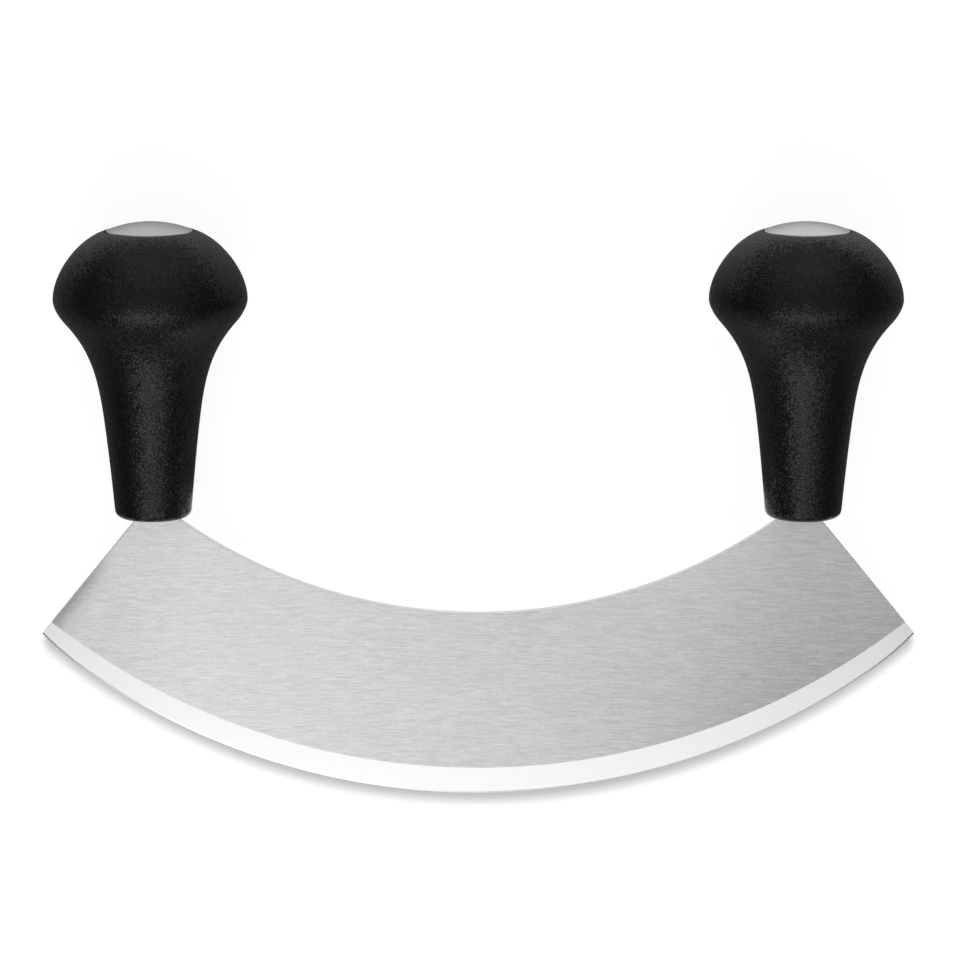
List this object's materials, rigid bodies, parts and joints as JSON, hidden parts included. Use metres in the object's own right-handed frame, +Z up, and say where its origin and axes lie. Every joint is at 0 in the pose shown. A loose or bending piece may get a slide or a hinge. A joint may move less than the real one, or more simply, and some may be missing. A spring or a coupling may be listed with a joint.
{
  "type": "mincing knife",
  "caption": "Mincing knife: a crescent steel blade with a ground rocking edge, held by black knob grips with domed steel caps.",
  "frame": {"origin": "middle of the bounding box at the table, where the knife lies on both knobs and the middle of its cutting edge", "axes": "+X along the blade from left tip to right tip, +Y from the cutting edge towards the grips, +Z up from the table"},
  "size_m": [0.23, 0.1504, 0.05],
  "materials": {
    "blade_steel": "fine brushed body with a ground bevel along the edge",
    "grip_plastic": "matte, fine moulded grain",
    "cap_steel": "satin",
    "fastener_steel": "plain, slightly dull"
  },
  "bodies": {
    "root": {"blade": "blade_steel", "left_grip": "grip_plastic", "right_grip": "grip_plastic", "left_cap": "cap_steel", "right_cap": "cap_steel", "left_washer": "fastener_steel", "right_washer": "fastener_steel", "left_lock_washer": "fastener_steel", "right_lock_washer": "fastener_steel", "left_nut": "fastener_steel", "right_nut": "fastener_steel"}
  },
  "joints": []
}
